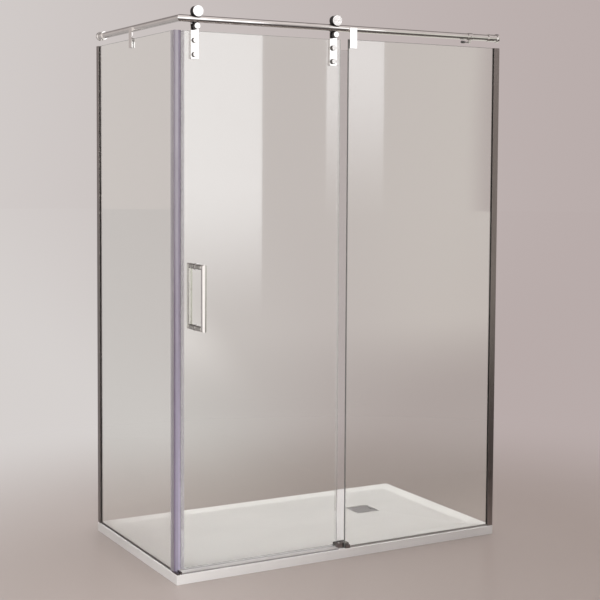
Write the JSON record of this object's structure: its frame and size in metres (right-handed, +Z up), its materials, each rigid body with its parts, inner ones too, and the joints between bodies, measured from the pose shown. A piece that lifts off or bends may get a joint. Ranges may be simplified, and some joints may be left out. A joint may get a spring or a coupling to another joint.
{
  "type": "shower enclosure with sliding door",
  "caption": "Corner shower enclosure: low tray, fixed glass side and front panels, and a glass door that hangs on rollers from a round rail and slides behind the fixed panel.",
  "frame": {"origin": "middle of the tray's underside, on the floor", "axes": "+X right along the front towards the right-hand wall, +Y towards the back wall, +Z up"},
  "size_m": [1.4, 0.8305, 2.052],
  "materials": {
    "tray_resin": "smooth satin white stone resin",
    "clear_glass": "clear toughened glass with polished edges",
    "chrome": "polished chrome plating",
    "bright_aluminium": "bright anodised extrusion",
    "dark_chrome": "dark polished plating",
    "steel": "machined stainless steel",
    "brushed_cover": "brushed stainless steel",
    "clear_seal": "translucent extruded vinyl",
    "magnet_strip": "dark flexible magnet strip",
    "black_nylon": "black turned nylon",
    "grey_rubber": "soft grey rubber",
    "white_rubber": "soft pale rubber"
  },
  "bodies": {
    "root": {"shower_tray": "tray_resin", "drain_flange": "chrome", "drain_gasket": "grey_rubber", "drain_strainer": "steel", "side_glass": "clear_glass", "fixed_glass": "clear_glass", "side_wall_profile": "bright_aluminium", "fixed_wall_profile": "bright_aluminium", "side_glass_gaskets": "white_rubber", "fixed_glass_gaskets": "white_rubber", "profile_side_screws": "chrome", "profile_end_caps": "bright_aluminium", "side_bottom_strip": "clear_seal", "fixed_bottom_strip": "clear_seal", "corner_seal_profile": "clear_seal", "corner_magnet": "magnet_strip", "rail_front": "chrome", "rail_side": "chrome", "rail_elbow": "steel", "rail_socket_right": "chrome", "rail_socket_back": "chrome", "rail_set_screws": "steel", "front_clamp_plate": "chrome", "front_clamp_jaw": "chrome", "front_clamp_pads": "grey_rubber", "side_clamp_plate": "chrome", "side_clamp_jaw": "chrome", "side_clamp_pads": "grey_rubber", "clamp_screws": "steel", "stop_collar": "chrome", "stop_pin": "steel", "stop_buffer": "grey_rubber", "threshold_strip": "bright_aluminium", "guide_base": "dark_chrome", "guide_pads": "black_nylon", "guide_screws": "steel"},
    "door": {"door_glass": "clear_glass", "hanger_arm_left": "chrome", "hanger_arm_right": "chrome", "hanger_cap_bolts": "chrome", "hanger_back_nuts": "chrome", "hanger_pads": "grey_rubber", "roller_axles": "steel", "roller_caps": "chrome", "keeper_axles": "chrome", "handle_outer": "chrome", "handle_inner": "chrome", "handle_washers": "chrome", "handle_studs": "steel", "door_magnet_profile": "clear_seal", "door_magnet": "magnet_strip", "door_overlap_seal": "clear_seal", "door_drip_seal": "clear_seal"},
    "drain_cover": {"drain_cover": "brushed_cover"},
    "roller_left": {"roller_wheel_left": "black_nylon", "roller_bearing_left": "steel"},
    "roller_right": {"roller_wheel_right": "black_nylon", "roller_bearing_right": "steel"},
    "keeper_left": {"keeper_wheel_left": "black_nylon"},
    "keeper_right": {"keeper_wheel_right": "black_nylon"}
  },
  "joints": [
    {"name": "door_slide", "type": "slide", "parent": "root", "child": "door", "axis": [1, 0, 0], "range_m": [0, 0.5627]},
    {"name": "roller_left_spin", "type": "hinge", "parent": "door", "child": "roller_left", "pos_m": [-0.618, -0.3825, 2.0315], "axis": [0, 1, 0], "continuous": true},
    {"name": "roller_right_spin", "type": "hinge", "parent": "door", "child": "roller_right", "pos_m": [-0.052, -0.3825, 2.0315], "axis": [0, 1, 0], "continuous": true},
    {"name": "keeper_left_spin", "type": "hinge", "parent": "door", "child": "keeper_left", "pos_m": [-0.618, -0.3825, 1.9805], "axis": [0, 1, 0], "continuous": true},
    {"name": "keeper_right_spin", "type": "hinge", "parent": "door", "child": "keeper_right", "pos_m": [-0.052, -0.3825, 1.9805], "axis": [0, 1, 0], "continuous": true},
    {"name": "drain_cover_lift", "type": "slide", "parent": "root", "child": "drain_cover", "axis": [0, 0, 1], "range_m": [0, 0.12]}
  ],
  "couplings": [
    {"joint": "roller_left_spin", "follows": "door_slide", "rad_per_m": 71.429},
    {"joint": "roller_right_spin", "follows": "door_slide", "rad_per_m": 71.429},
    {"joint": "keeper_left_spin", "follows": "door_slide", "rad_per_m": -83.333},
    {"joint": "keeper_right_spin", "follows": "door_slide", "rad_per_m": -83.333}
  ]
}
